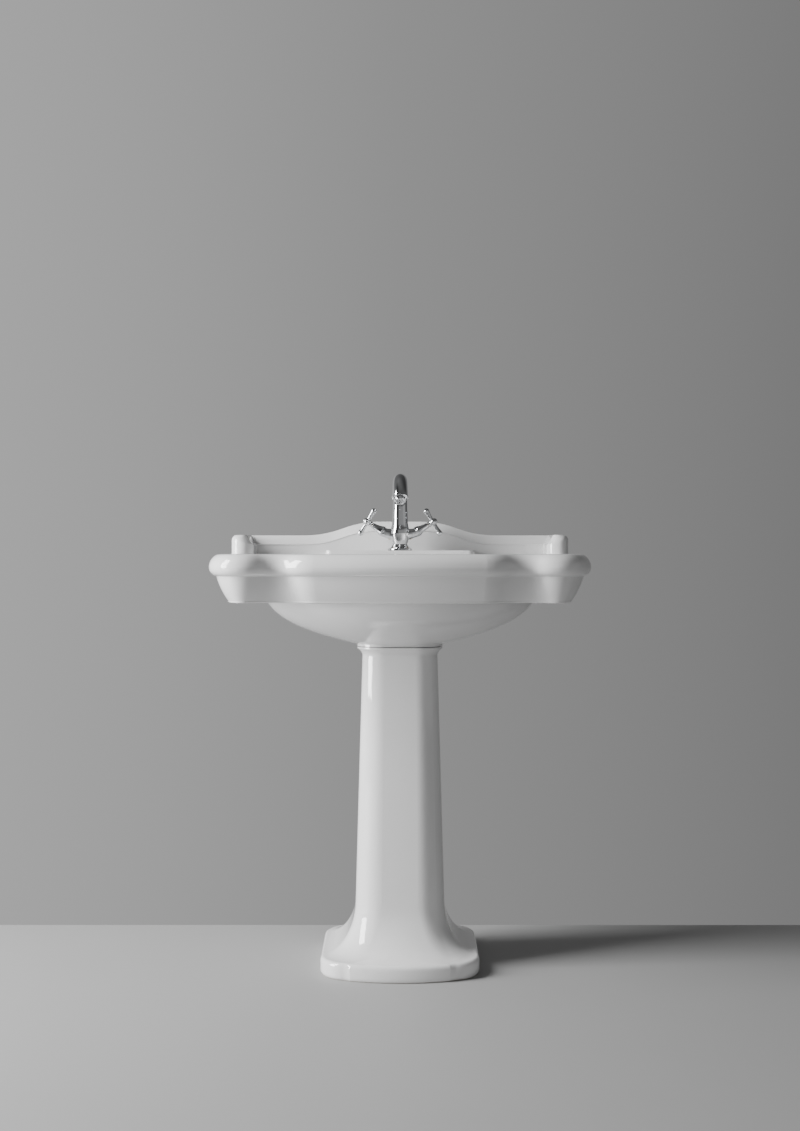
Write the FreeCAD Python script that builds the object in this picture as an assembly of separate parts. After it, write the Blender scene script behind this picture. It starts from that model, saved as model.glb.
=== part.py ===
import FreeCAD, Part
import math
import os

# Pedestal washbasin with a one-hole mixer, a push waste and a bottle trap. Millimetres, +Z up.
# The object is drawn with the wall as the plane y = 0, the floor as z = 0, the middle as x = 0
# and its front towards -Y. save() then moves every piece by the same step, so that the origin
# is under the middle of the whole object, on the floor.

V = FreeCAD.Vector
UP = V(0, 0, 1)

# ---- driving dimensions: basin ----
basin_width = 760
basin_projection = 530
basin_depth = 192           # crest of the rim roll above the top of the pedestal
roll_top_height = 26          # from the widest place up to the crest
roll_top_run = 21           # from the widest place in to the crest
roll_shoulder_radius = 15   # smaller round under the crest
roll_low_radius = 18
roll_inside_run = 24        # from the crest inwards to the flat deck
deck_drop = 10              # deck below the crest
deck_thickness = 16
apron_height = 52.5           # band below the roll
apron_top_inset = 14.5
apron_bottom_inset = 38
apron_bulge = 1.5
apron_wall = 12
apron_edge_radius = 4

bow_radius = 1100           # front edge in plan, middle
shoulder_radius = 90        # where the bow turns in towards the hollow
hollow_radius = 45          # hollow between bow and corner lobe
hollow_depth = 47
lobe_front_radius = 60
lobe_side_radius = 100
lobe_turn = 46              # degrees, where the two lobe arcs meet
lobe_setback = 115          # widest place behind the front

seat_height = 658           # top of the pedestal
seat_pad = 2
bowl_wall = 13
bowl_floor = 15             # from the underside to the bowl floor
bowl_lip_radius = 8
lip_steps = 4               # sections round a quarter turn
bowl_top_half_width = 273
bowl_top_half_depth = 157
bowl_top_setback = 318      # middle of the bowl's top from the wall
bowl_bottom_radius = 80
bowl_fullness = 3.45        # how fast the bowl widens above its bottom
bowl_fall = 2               # fall of the bowl's floor to the waste
bowl_steps = 9
waste_setback = 270         # waste axis from the wall

upstand_height = 41         # above the crest, at the sides
upstand_rise = 31           # more in the middle
upstand_flat_half = 45
upstand_ogee_half = 215
upstand_thickness = 48
upstand_top_width = 33
upstand_band = 20           # moulded band under the top edge
upstand_ledge = 3
upstand_side_inset = 10     # outer face of the side returns from the basin's side
upstand_corner_radius = 10
return_length = 122
return_end_radius = 15
cove_radius = 12

ledge_half_width = 162
ledge_front = 150           # front of the tap ledge from the wall
ledge_height = 7            # above the crest
ledge_corner_radius = 12
ledge_pocket_radius = 8     # corners of the hollow under the ledge
ledge_draft = 6
tap_hole_radius = 17.5
tap_setback = 104           # tap axis from the wall

back_wall = 14
wall_bolt_spacing = 280
wall_bolt_hole_radius = 7
wall_bolt_drop = 62         # bolts below the crest

overflow_radius = 11
overflow_drop = 26          # overflow axis below the deck
overflow_lip = 1.5
overflow_trim = 2           # wall of the trim ring's lip
overflow_lip_width = 4      # lip past the hole
overflow_trim_gap = 2       # ring ends this far inside the bowl's wall
duct_width = 50
duct_depth = 16             # behind the bowl's wall, its own wall included
duct_wall = 6
waste_boss_radius = 40
waste_boss_height = 24      # boss below the bowl's underside
waste_hole_radius = 23
waste_recess_radius = 36
waste_recess_depth = 3

# ---- driving dimensions: pedestal ----
plinth_width = 324
plinth_front = 437          # from the wall
plinth_back = 112
plinth_height = 34
plinth_bow_half = 100
plinth_bow_depth = 14       # ends of the front bow behind its middle
plinth_hollow_width = 18    # small hollow between the bow and the corner lobe
plinth_hollow_depth = 19
plinth_lobe_depth = 22
plinth_lobe_rear = 84
plinth_lobe_cut = 14
plinth_lobe_swell = 0.4     # share of the lobe's depth at its middle point
plinth_back_radius = 66
shaft_width = 184           # at the flare
shaft_front = 354
shaft_back = 174
shaft_panel_half = 37
neck_width = 156
neck_front = 341
neck_back = 186
neck_panel_half = 33
panel_bow = 0.4
shaft_rear_radius = 22
flange_height = 18
flange_edge = 10.5
flange_lip = 3
seat_block = 16             # moulded seat under the bowl, on the pedestal's plan
flare_height = 132          # where the flare meets the shaft
flare_steps = 7
flare_gather = 1.6          # gathers the flare's sections towards the plinth
seat_pad_inset = 5
# shares of the way from the shaft's plan (0) to the plinth's (1), by share of the height
plinth_edge = ((0, 0.955), (0.09, 0.985), (0.24, 1), (0.73, 1), (0.88, 0.985), (0.97, 0.95), (1, 0.915))
foot_hollow = ((0, 0.72), (0.1, 0.4), (0.34, 0.14), (0.64, 0.02), (1, 0))
pedestal_wall = 13
pedestal_gap_half = 48      # half of the open slot in the back
foot_gap_front = 330        # front of the hollow in the foot, from the wall
foot_gap_half = 60
foot_gap_rear = 20          # strip of floor left at the back
foot_gap_round = 18
foot_screw_spacing = 190
foot_screw_radius = 3.5
foot_screw_setback = 196

# ---- driving dimensions: waste and trap ----
waste_thread_radius = 20.9
waste_bore_radius = 17
waste_flange_radius = 33
waste_flange_thickness = 3
waste_flange_round = 3      # width of the flange's rounded edge
waste_dish_width = 5        # funnel from the flange into the bore
waste_dish_depth = 4
waste_length = 72
waste_seal_thickness = 2
waste_slot_height = 12
waste_slot_half = 10
waste_slot_rise = 1         # slot above the passage's floor
waste_bar_width = 8
waste_bar_height = 6
waste_bar_inset = 0.5       # ends of the bar inside the thread
waste_hub_wall = 2.5
waste_seal_inset = 4
waste_gasket_cone = 3       # conical top of the lower gasket
waste_gasket_rise = 2
waste_gasket_thickness = 5
waste_gasket_radius = 35
waste_washer_thickness = 1.5
waste_nut_thickness = 8
waste_nut_flats = 55
plug_radius = 30
plug_edge = 3
plug_round = 1.2            # width and height of the cover's rounded edge
plug_round_height = 1
plug_crown = 5
plug_boss = 2               # widening of the boss under the cover
plug_boss_gap = 1
plug_stem_grip = 3          # stem left in the cartridge when raised
plug_lift = 9               # stroke of the push plug
plug_seal_thickness = 2
plug_seal_inset = 3
plug_seal_width = 4
plug_stem_radius = 3
plug_running_gap = 0.1
cartridge_radius = 8
cartridge_neck_radius = 5
cartridge_height = 20
cartridge_edge = 1
pipe_radius = 16
pipe_wall = 1.5
pipe_rim = 3.5
pipe_rim_thickness = 2.5
trap_nut_radius = 26
trap_nut_height = 18
trap_nut_floor = 4
nut_edge = 2
flute_radius = 1.6
flute_out = 0.7             # flute axes outside the nut's side
trap_radius = 31
trap_wall = 2.5
trap_step = 1               # step down to the thread
trap_collar_wall = 4
trap_branch_wall = 3
trap_rise = 28              # top of the trap above its outlet
trap_drop = 68              # bottom of the trap below its outlet
trap_collar = 14
trap_dip = 34               # end of the inlet pipe above the bottom
trap_shoulder = 9
trap_cup_height = 42
trap_thread = 12
trap_cup_wall = 2.5
trap_cup_round = 8
trap_grip = 1.5             # fluted grip proud of the cup
cup_seal_thickness = 3
seal_gap = 0.6
trap_seal = 2
trap_seal_outset = 1        # seal's outer edge inside the thread's
trap_seal_inset = 2         # seal's inner edge inside the bore
trap_outlet_drop = 108      # outlet axis below the end of the waste
trap_branch = 16            # branch past the trap's side
nut_flutes = 16
trap_outlet_nut_radius = 23
trap_outlet_nut_length = 20
outlet_nut_floor = 3
outlet_seal_length = 4
pipe_start = 4              # inner end of the outlet pipe past the trap's side
outlet_tail = 40            # outlet pipe past the wall plane, into the wall's socket
outlet_tail_radius = 15.75
rosette_radius = 38
rosette_depth = 12
rosette_wall = 2

# ---- driving dimensions: mixer ----
foot_radius = 27.5
foot_edge = 3
foot_round = 1.2            # width of the foot's rounded edge
foot_sweep = 3.2            # middle of the foot's hollow: outside the waist, below its level
foot_sweep_drop = 4.6
column_radius = 17.2
column_height = 93.5
neck_radius = 16.8          # waist between foot and body
neck_level = 14
body_radius = 22.5          # widest place of the body, between the arms
body_level = 38
body_top = 66
body_swell = 1.4            # points on the body's curve, inside its widest place
body_swell_rise = 2
body_round = 1
body_round_rise = 7
body_shoulder = 3
body_shoulder_rise = 14
body_neck = 0.7             # point of the hollow, outside the column
body_neck_drop = 7
column_hollow = 0.4
spout_bend_radius = 58
spout_sweep = 155           # degrees from straight up to the outlet's direction
spout_apex_radius = 15.5
spout_waist = 0.6           # the spout thins by this much at the top of its bend
spout_end_radius = 16.8
spout_end_length = 12
collar_radius = 17.8
collar_length = 4.5
collar_edge = 0.8
collar_step = 2.4           # flat end of the collar round the nozzle
nozzle_radius = 12.5
nozzle_length = 5
nozzle_cove = 1             # point of the cove between collar and nozzle
nozzle_cove_share = 0.6
aerator_radius = 10.5
aerator_lip_radius = 11.6
aerator_lip = 2
aerator_insert_radius = 8.8
aerator_depth = 9
aerator_edge = 0.6
aerator_seat = 1            # gaps behind the ring and the insert
aerator_recess = 1.2
aerator_hole_radius = 0.85
aerator_hole_depth = 3.2
aerator_holes = ((1, 0), (6, 2.9), (12, 6.2))   # count and radius of each circle of holes
spout_steps = 8
valve_rise = 19             # valve axes meet the tap axis this far above the ledge
valve_tilt = 31             # degrees above the horizontal
arm_radius = 10.6
arm_root_radius = 19
arm_root_level = 34
arm_straight = 3            # straight length behind the ring
arm_steps = 4
arm_taper = 1.8             # how fast the arm thins from its root
arm_curve = 1.5             # how late it turns on to the valve axis
arm_end = 46.5              # along the valve axis
arm_ring_radius = 11.8
arm_ring = 3
arm_ring_edge = 0.6
bonnet_end = 72
bonnet_end_radius = 6.2
bonnet_skirt = 0.4          # foot of the bonnet inside the ring
bonnet_skirt_edge = 0.5
bonnet_skirt_height = 1.2
bonnet_hollow = 1.4
bonnet_round = 0.3          # point on the rounded end: inwards, and below the end
bonnet_round_drop = 0.4
bonnet_round_width = 1.2
bonnet_round_height = 1.4
bonnet_wall = 4             # end wall round the spindle
bonnet_gap = 0.5
cartridge_body_radius = 8
cartridge_top_radius = 4.7
cartridge_depth = 24
spindle_radius = 3
spindle_gap = 0.08
spindle_seat = 6            # inner end of the spindle above the cartridge's
spindle_floor_gap = 0.5
spindle_short = 1           # outer end short of the cross
handle_gap = 0.8
handle_hub = 85             # middle of the cross along the valve axis
handle_reach = 34.5
handle_root_radius = 4.2
handle_tip_radius = 6.4
handle_hub_radius = 8.4
handle_neck_radius = 6
handle_neck_edge = 0.6
handle_neck_height = 2
handle_waist = 0.5          # point between neck and hub
handle_waist_height = 4
handle_hub_low = 5          # the hub's bulge starts this far under the cross
handle_hub_high = 4.6
handle_hub_low_cut = 1.8
handle_hub_high_cut = 1.2
handle_hub_brow = 1.5
handle_hub_end_cut = 2.2
handle_hub_end = 6
handle_hub_edge = 0.4
handle_swell = 0.4          # middle of each arm of the cross outside its root
handle_swell_place = 0.6
handle_arm_overlap = 3      # arms start inside the hub
handle_ball = (65, 122, 180)                    # degrees round the ball end
head_rise = 1.5             # screw head's seat past the middle of the cross
cap_radius = 6
cap_edge = 0.8
cap_crown = 3.4
screw_radius = 2
screw_head_radius = 3.6
screw_head_height = 2
screw_length = 10
screw_gap = 1               # thread's hole deeper than the screw
screw_pocket = 0.4          # gap round the head
screw_socket_flats = 2.5
screw_socket_depth = 1.2
screw_socket_centre = 0.1   # thin point left by the broach in the middle of the socket
cap_plug = 2                # stem of the cap in the hub
base_seal_thickness = 1.5
spigot_radius = 16.5
spigot_depth = 8
stud_radius = 4
stud_length = 76
stud_bite = 6               # of it in the mixer's foot
stud_setback = 9            # stud axis behind the tap axis
inlet_radius = 4.6
inlet_offset = 8
inlet_setforward = 5
inlet_depth = 14
horseshoe_radius = 27
horseshoe_gap_half = 14
horseshoe_gap_end = 2       # behind the tap axis
horseshoe_rubber = 3
horseshoe_steel = 3
fixing_nut_flats = 13
fixing_nut_height = 9
stud_hole_gap = 0.4

# ---- places that follow from them ----
rim_height = seat_height + basin_depth
wall_bolt_height = rim_height - wall_bolt_drop
half_width = basin_width / 2
deck_top = rim_height - deck_drop
deck_under = deck_top - deck_thickness
roll_middle = rim_height - roll_top_height
apron_top = roll_middle - roll_low_radius
apron_bottom = apron_top - apron_height
roll_inner_inset = roll_top_run + roll_inside_run
basin_seat = seat_height + seat_pad
bowl_floor_height = basin_seat + bowl_floor
waste_seat = bowl_floor_height - waste_recess_depth
boss_bottom = basin_seat - waste_boss_height
upstand_top = rim_height + upstand_height
upstand_side = half_width - upstand_side_inset
ledge_top = rim_height + ledge_height
waste_bottom = waste_seat - waste_length
trap_outlet_height = waste_bottom - trap_outlet_drop
trap_top = trap_outlet_height + trap_rise
trap_bottom = trap_outlet_height - trap_drop
trap_mouth = trap_bottom + trap_cup_height - trap_thread
branch_end = trap_radius + trap_branch
frame_step = (basin_projection - outlet_tail) / 2


# ---- drawing helpers ----
def unit(vector):
    made = V(vector)
    made.normalize()
    return made


def arc(centre, start, end):
    middle = centre + unit((start - centre) + (end - centre)) * start.distanceToPoint(centre)
    return Part.Arc(start, middle, end).toShape()


def line(start, end):
    return Part.LineSegment(start, end).toShape()


def flat(x, y):
    return V(x, y, 0)


def upright(x, z):
    return V(x, 0, z)


def sideways(y, z):
    return V(0, y, z)


def outline(place, start, *legs):
    # closed wire: a leg (a, b) is a line to that point, a leg (middle, end) is an arc
    edges = []
    here = place(*start)
    for leg in legs + (start,):
        if isinstance(leg[0], tuple):
            there = place(*leg[1])
            edges.append(Part.Arc(here, place(*leg[0]), there).toShape())
        else:
            there = place(*leg)
            if here.distanceToPoint(there) > 1e-6:
                edges.append(line(here, there))
        here = there
    return Part.Wire(edges)


def rounded(place, *corners):
    # closed wire through corners (a, b, radius), each rounded by a tangent arc
    cuts = []
    for i, (a, b, radius) in enumerate(corners):
        here = V(a, b, 0)
        back = unit(V(*corners[i - 1][:2], 0) - here)
        ahead = unit(V(*corners[(i + 1) % len(corners)][:2], 0) - here)
        half = back.getAngle(ahead) / 2
        reach = radius / math.tan(half)
        middle = here + unit(back + ahead) * (radius / math.sin(half) - radius)
        cuts.append((here + back * reach, middle, here + ahead * reach))
    legs = []
    for start, middle, end in cuts:
        legs.append((start.x, start.y))
        if start.distanceToPoint(end) > 1e-6:
            legs.append(((middle.x, middle.y), (end.x, end.y)))
    return outline(place, legs[0], *legs[1:])


def ogee(start, end):
    # two legs of a reverse curve that leaves start and reaches end level
    run = end[0] - start[0]
    rise = end[1] - start[1]
    radius = (run * run + rise * rise) / (4 * abs(rise))
    turn = math.asin(abs(run) / 2 / radius) / 2
    across = math.copysign(radius * math.sin(turn), run)
    along = math.copysign(radius * (1 - math.cos(turn)), rise)
    middle = (start[0] + run / 2, start[1] + rise / 2)
    first = ((start[0] + across, start[1] + along), middle)
    second = ((end[0] - across, end[1] - along), end)
    return first, second


def lathe(start, *legs):
    # turned piece about Z from a closed (radius, height) outline
    return Part.Face(outline(upright, start, *legs)).revolve(V(), UP, 360)


def dome(radius, low, rise):
    # the leg from (radius, low) over a ball-shaped cap to the axis
    ball = (radius * radius + rise * rise) / (2 * rise)
    half = math.asin(radius / ball) / 2
    return (ball * math.sin(half), low + rise - ball * (1 - math.cos(half))), (0, low + rise)


def ring(outer, inner, low, high):
    return lathe((inner, low), (outer, low), (outer, high), (inner, high))


def rod(radius, low, high):
    return Part.makeCylinder(radius, high - low, V(0, 0, low))


def block(x0, x1, y0, y1, z0, z1):
    return Part.makeBox(x1 - x0, y1 - y0, z1 - z0, V(x0, y0, z0))


def prism(wire, along):
    return Part.Face(wire).extrude(along)


def hexagon(flats, low, high, bore):
    corner = flats / math.sqrt(3)
    chamfer = (corner - flats / 2) / 2
    points = []
    for step in range(7):
        angle = step * math.pi / 3
        points.append(V(corner * math.cos(angle), corner * math.sin(angle), low))
    nut = prism(Part.makePolygon(points), V(0, 0, high - low))
    turned = lathe(
        (0, low),
        (flats / 2, low),
        (corner, low + chamfer),
        (corner, high - chamfer),
        (flats / 2, high),
        (0, high),
    )
    return nut.common(turned).cut(rod(bore, low - 1, high + 1))


def moved(shape, x, y, z):
    made = shape.copy()
    made.translate(V(x, y, z))
    return made


def mirrored(shape):
    return shape.mirror(V(), V(1, 0, 0))


def join(first, *others):
    return first.fuse(list(others))


def save(name, shape):
    shape = moved(shape, 0, frame_step, 0)
    solids = shape.Solids
    shape = solids[0] if len(solids) == 1 else Part.makeCompound(solids)
    shape.exportStep("parts/" + name + ".step")


# ---- basin ----
def meet(first, first_radius, second, second_radius):
    # the meeting point of two circles that lies nearer the middle of the basin
    gap = second - first
    along = (first_radius ** 2 - second_radius ** 2 + gap.Length ** 2) / (2 * gap.Length)
    across = math.sqrt(first_radius ** 2 - along ** 2)
    side = V(-gap.y, gap.x, 0)
    if side.x > 0:
        side = side * -1
    return first + unit(gap) * along + unit(side) * across


def rim_edges(inset, height):
    # plan of the rim, from the wall on the right round the front to the wall on the left
    bow = flat(0, bow_radius - basin_projection)
    side = flat(half_width - lobe_side_radius, lobe_setback - basin_projection)
    turn = math.radians(lobe_turn)
    lobe = side + flat(math.cos(turn), -math.sin(turn)) * (lobe_side_radius - lobe_front_radius)
    hollow_y = hollow_depth - basin_projection - hollow_radius
    reach = lobe_front_radius + hollow_radius
    hollow = flat(lobe.x - math.sqrt(reach ** 2 - (hollow_y - lobe.y) ** 2), hollow_y)
    shoulder = meet(bow, bow_radius - shoulder_radius, hollow, shoulder_radius + hollow_radius)
    stops = [
        flat(half_width - inset, 0),
        flat(half_width - inset, side.y),
        lobe + unit(lobe - side) * (lobe_front_radius - inset),
        lobe + unit(hollow - lobe) * (lobe_front_radius - inset),
        shoulder + unit(hollow - shoulder) * (shoulder_radius - inset),
        shoulder + unit(shoulder - bow) * (shoulder_radius - inset),
    ]
    right = [line(stops[0], stops[1])]
    for centre, start, end in zip((side, lobe, hollow, shoulder), stops[1:], stops[2:]):
        right.append(arc(centre, start, end))
    front = arc(bow, stops[-1], flat(-stops[-1].x, stops[-1].y))
    left = [mirrored(edge) for edge in reversed(right)]
    edges = right + [front] + left
    for edge in edges:
        edge.translate(V(0, 0, height))
    return edges


def rim_band():
    # rim roll and apron: one section carried round the plan
    low = apron_bottom_inset
    span = apron_bottom_inset - apron_top_inset
    lean = math.hypot(span, apron_height)
    bulge = (
        (low + apron_top_inset) / 2 - apron_bulge * apron_height / lean,
        (apron_bottom + apron_top) / 2 - apron_bulge * span / lean,
    )
    meets = roll_middle - math.sqrt(roll_low_radius ** 2 - (roll_low_radius - apron_top_inset) ** 2)
    half_turn = math.atan2(roll_middle - meets, roll_low_radius - apron_top_inset) / 2
    under = (
        roll_low_radius - roll_low_radius * math.cos(half_turn),
        roll_middle - roll_low_radius * math.sin(half_turn),
    )
    top_rise = roll_top_height - roll_shoulder_radius
    side_radius = (roll_top_run ** 2 + top_rise ** 2 - roll_shoulder_radius ** 2) / 2
    side_radius = side_radius / (roll_top_run - roll_shoulder_radius)
    turn = math.atan2(top_rise, side_radius - roll_top_run)
    joint = (side_radius * (1 - math.cos(turn)), roll_middle + side_radius * math.sin(turn))
    side_way = (side_radius * (1 - math.cos(turn / 2)), roll_middle + side_radius * math.sin(turn / 2))
    lean_back = (turn + math.pi / 2) / 2
    shoulder_way = (
        roll_top_run - roll_shoulder_radius * math.cos(lean_back),
        rim_height - roll_shoulder_radius * (1 - math.sin(lean_back)),
    )
    crest = (roll_top_run, rim_height)
    edge = apron_edge_radius
    corner = edge * (1 - math.sqrt(0.5))
    inner = low + apron_wall

    def section(inset, z):
        return V(half_width - inset, 0, z)

    wire = outline(
        section,
        (low, apron_bottom + edge),
        (bulge, (apron_top_inset, meets)),
        (under, (0, roll_middle)),
        (side_way, joint),
        (shoulder_way, crest),
        *ogee(crest, (roll_inner_inset, deck_top)),
        (roll_inner_inset, deck_under),
        (apron_top_inset + apron_wall, deck_under),
        (inner, apron_bottom + edge),
        ((inner - corner, apron_bottom + corner), (inner - edge, apron_bottom)),
        (low + edge, apron_bottom),
        ((low + corner, apron_bottom + corner), (low, apron_bottom + edge)),
    )
    return Part.Wire(rim_edges(0, 0)).makePipeShell([wire], True, False)


def oval(setback, half_wide, half_deep, z):
    return Part.Wire(Part.Ellipse(V(0, -setback, z), half_wide, half_deep).toShape())


def bowl_share(height):
    # how far the bowl has widened at a share of its height
    return 1 - (1 - height) ** bowl_fullness


def bowl_shell(bottom, grow, low, high):
    # smooth bowl from a round bottom to the oval of the bowl's top, grown by grow
    wide = bowl_top_half_width + grow
    deep = bowl_top_half_depth + grow
    wires = []
    for step in range(bowl_steps + 1):
        height = 1 - math.cos(math.pi / 2 * step / bowl_steps)
        share = bowl_share(height)
        wires.append(oval(
            waste_setback + (bowl_top_setback - waste_setback) * share,
            bottom + (wide - bottom) * share,
            bottom + (deep - bottom) * share,
            low + (high - low) * height,
        ))
    return Part.makeLoft(wires, True, False)


def top_oval(grow, low, high):
    wire = oval(bowl_top_setback, bowl_top_half_width + grow, bowl_top_half_depth + grow, low)
    return prism(wire, V(0, 0, high - low))


def bowl_outside():
    return bowl_shell(bowl_bottom_radius, bowl_wall, basin_seat, deck_under)


def belly():
    seat = prism(plan_wire(shaft_neck(flange_edge), basin_seat), V(0, 0, seat_block))
    return join(bowl_outside(), top_oval(bowl_wall, deck_under, deck_top), seat)


def bowl_hollow():
    straight = deck_top - bowl_lip_radius
    body = bowl_shell(bowl_bottom_radius, 0, bowl_floor_height, straight)
    lip = []
    for step in range(lip_steps + 1):
        turn = math.pi / 2 * step / lip_steps
        grow = bowl_lip_radius * (1 - math.cos(turn))
        z = straight + bowl_lip_radius * math.sin(turn)
        lip.append(oval(bowl_top_setback, bowl_top_half_width + grow, bowl_top_half_depth + grow, z))
    mouth = Part.makeLoft(lip, True, False)
    dish = moved(lathe(
        (0, waste_seat),
        (waste_recess_radius, bowl_floor_height - bowl_fall),
        (bowl_bottom_radius, bowl_floor_height),
        (0, bowl_floor_height),
    ), 0, -waste_setback, 0)
    return join(body, mouth, top_oval(bowl_lip_radius, deck_top, deck_top + deck_drop), dish)


def crest_outline(drop, y):
    # the upstand seen from the front, its top edge lowered by drop
    low = deck_under + deck_thickness / 2
    side = upstand_side
    top = upstand_top - drop
    peak = top + upstand_rise
    corner = upstand_corner_radius
    cut = corner * (1 - math.sqrt(0.5))

    def place(x, z):
        return V(x, y, z)

    return outline(
        place,
        (-side, low),
        (side, low),
        (side, top - corner),
        ((side - cut, top - cut), (side - corner, top)),
        (upstand_ogee_half, top),
        *ogee((upstand_ogee_half, top), (upstand_flat_half, peak)),
        (-upstand_flat_half, peak),
        *ogee((-upstand_flat_half, peak), (-upstand_ogee_half, top)),
        (corner - side, top),
        ((cut - side, top - cut), (-side, top - corner)),
    )


def side_return():
    # the upstand's right-hand return, its section carried forward from the wall
    low = deck_under + deck_thickness / 2
    side = upstand_side
    inner = side - upstand_thickness
    corner = upstand_corner_radius
    cut = corner * (1 - math.sqrt(0.5))
    cove = cove_radius * (1 - math.sqrt(0.5))
    section = outline(
        upright,
        (inner - cove_radius, low),
        (side, low),
        (side, upstand_top - corner),
        ((side - cut, upstand_top - cut), (side - corner, upstand_top)),
        (side - upstand_top_width, upstand_top),
        (inner + upstand_ledge, upstand_top - upstand_band),
        (inner, upstand_top - upstand_band),
        (inner, deck_top + cove_radius),
        ((inner - cove, deck_top + cove), (inner - cove_radius, deck_top)),
    )
    arm = prism(section, V(0, -return_length, 0))
    plan = rounded(
        flat,
        (inner - 2 * cove_radius, 0, 0),
        (side, 0, 0),
        (side, -return_length, return_end_radius),
        (inner - 2 * cove_radius, -return_length, cove_radius),
    )
    plan.translate(V(0, 0, low))
    return arm.common(prism(plan, V(0, 0, upstand_top)))


def upstand():
    full = crest_outline(0, 0)
    low = crest_outline(upstand_band, 0)
    top_back = -upstand_top_width
    front = -upstand_thickness
    slope = Part.makeLoft(
        [crest_outline(0, top_back), crest_outline(upstand_band, front + upstand_ledge)], True, True
    )
    cove = cove_radius * (1 - math.sqrt(0.5))
    foot = outline(
        sideways,
        (front, deck_under),
        (front - cove_radius, deck_under),
        (front - cove_radius, deck_top),
        ((front - cove, deck_top + cove), (front, deck_top + cove_radius)),
    )
    foot.translate(V(-upstand_side, 0, 0))
    right = side_return()
    return join(
        prism(full, V(0, top_back, 0)),
        slope,
        prism(low, V(0, front, 0)),
        prism(foot, V(2 * upstand_side, 0, 0)),
        right,
        mirrored(right),
    )


def tap_ledge(grow, corner, low, high):
    # the raised platform, drawn wider towards its foot
    wires = []
    for share, z in ((ledge_draft, low), (0, high)):
        out = grow + share
        wires.append(rounded(
            lambda x, y: V(x, y, z),
            (-ledge_half_width - out, 0, 0),
            (ledge_half_width + out, 0, 0),
            (ledge_half_width + out, -ledge_front - out, corner + share),
            (-ledge_half_width - out, -ledge_front - out, corner + share),
        ))
    return Part.makeLoft(wires, True, True)


def overflow_duct(width, depth, low):
    # the passage cast on the back of the bowl, from the overflow down to the waste
    shell = bowl_shell(bowl_bottom_radius + depth, bowl_wall + depth, low, deck_under)
    return shell.common(block(-width / 2, width / 2, -waste_setback, 0, low, deck_under))


def basin():
    inset = roll_inner_inset - 1
    rear = line(V(inset - half_width, 0, deck_under), V(half_width - inset, 0, deck_under))
    plate = Part.Wire(rim_edges(inset, deck_under) + [rear])
    side = half_width - apron_top_inset - apron_wall
    back = block(-side, side, -back_wall, 0, apron_bottom, deck_top)
    boss = moved(rod(waste_boss_radius, boss_bottom, waste_seat), 0, -waste_setback, 0)
    china = join(
        rim_band(),
        prism(plate, V(0, 0, deck_thickness)),
        back,
        upstand(),
        tap_ledge(0, ledge_corner_radius, deck_under, ledge_top),
        belly(),
        boss,
        overflow_duct(duct_width, duct_depth, boss_bottom),
    )
    tap = moved(rod(tap_hole_radius, deck_under, ledge_top + 1), 0, -tap_setback, 0)
    pocket = tap_ledge(-deck_thickness, ledge_pocket_radius, deck_under - 1, ledge_top - deck_thickness)
    pocket = pocket.common(block(-half_width, half_width, -ledge_front, -upstand_thickness, 0, ledge_top))
    waste = moved(rod(waste_hole_radius, boss_bottom - 1, bowl_floor_height + 1), 0, -waste_setback, 0)
    recess = moved(rod(waste_recess_radius, waste_seat, bowl_floor_height + 1), 0, -waste_setback, 0)
    overflow = Part.makeCylinder(
        overflow_radius,
        2 * bowl_wall + duct_depth / 2,
        V(0, -bowl_top_setback + bowl_top_half_depth - bowl_wall, deck_top - overflow_drop),
        V(0, 1, 0),
    )
    channel = overflow_duct(duct_width - 2 * duct_wall, duct_depth - duct_wall, boss_bottom + duct_wall)
    channel = channel.cut(bowl_outside())
    cuts = [bowl_hollow(), tap, pocket, waste, recess, overflow, channel]
    for x in (-wall_bolt_spacing / 2, wall_bolt_spacing / 2):
        start = V(x, 1, wall_bolt_height)
        cuts.append(Part.makeCylinder(wall_bolt_hole_radius, back_wall + 2, start, V(0, -1, 0)))
    return china.cut(cuts)


def overflow_ring():
    # trim pressed into the overflow hole, its lip on the bowl's wall
    inner = overflow_radius - overflow_trim
    outer = overflow_radius + overflow_lip_width
    made = lathe(
        (inner, -overflow_lip),
        (outer - overflow_trim / 2, -overflow_lip),
        (outer, 0),
        (overflow_radius, 0),
        (overflow_radius, bowl_wall - overflow_trim_gap),
        (overflow_radius - overflow_trim / 2, bowl_wall - overflow_trim_gap),
        (inner, 0),
    )
    made.rotate(V(), V(1, 0, 0), -90)
    return moved(made, 0, bowl_top_half_depth - bowl_top_setback, deck_top - overflow_drop)


# ---- pedestal ----
# A plan of the pedestal is nine points of its right half, front to back: middle of the front,
# end of the front panel, a point on the first curve beside it, where the second curve starts, a
# point on it, its end on the side, start of the back corner, a point on it, and its end on the back.
def plinth_plan():
    half = plinth_width / 2
    round_back = plinth_back_radius
    cut = round_back * (1 - math.sqrt(0.5))
    return [
        (0, -plinth_front),
        (plinth_bow_half, plinth_bow_depth - plinth_front),
        (plinth_bow_half + plinth_hollow_width / 2, plinth_hollow_depth - plinth_front),
        (plinth_bow_half + plinth_hollow_width, plinth_lobe_depth - plinth_front),
        (half - plinth_lobe_cut, (plinth_lobe_depth + plinth_lobe_rear) * plinth_lobe_swell - plinth_front),
        (half, plinth_lobe_rear - plinth_front),
        (half, -plinth_back - round_back),
        (half - cut, -plinth_back - cut),
        (half - round_back, -plinth_back),
    ]


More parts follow.
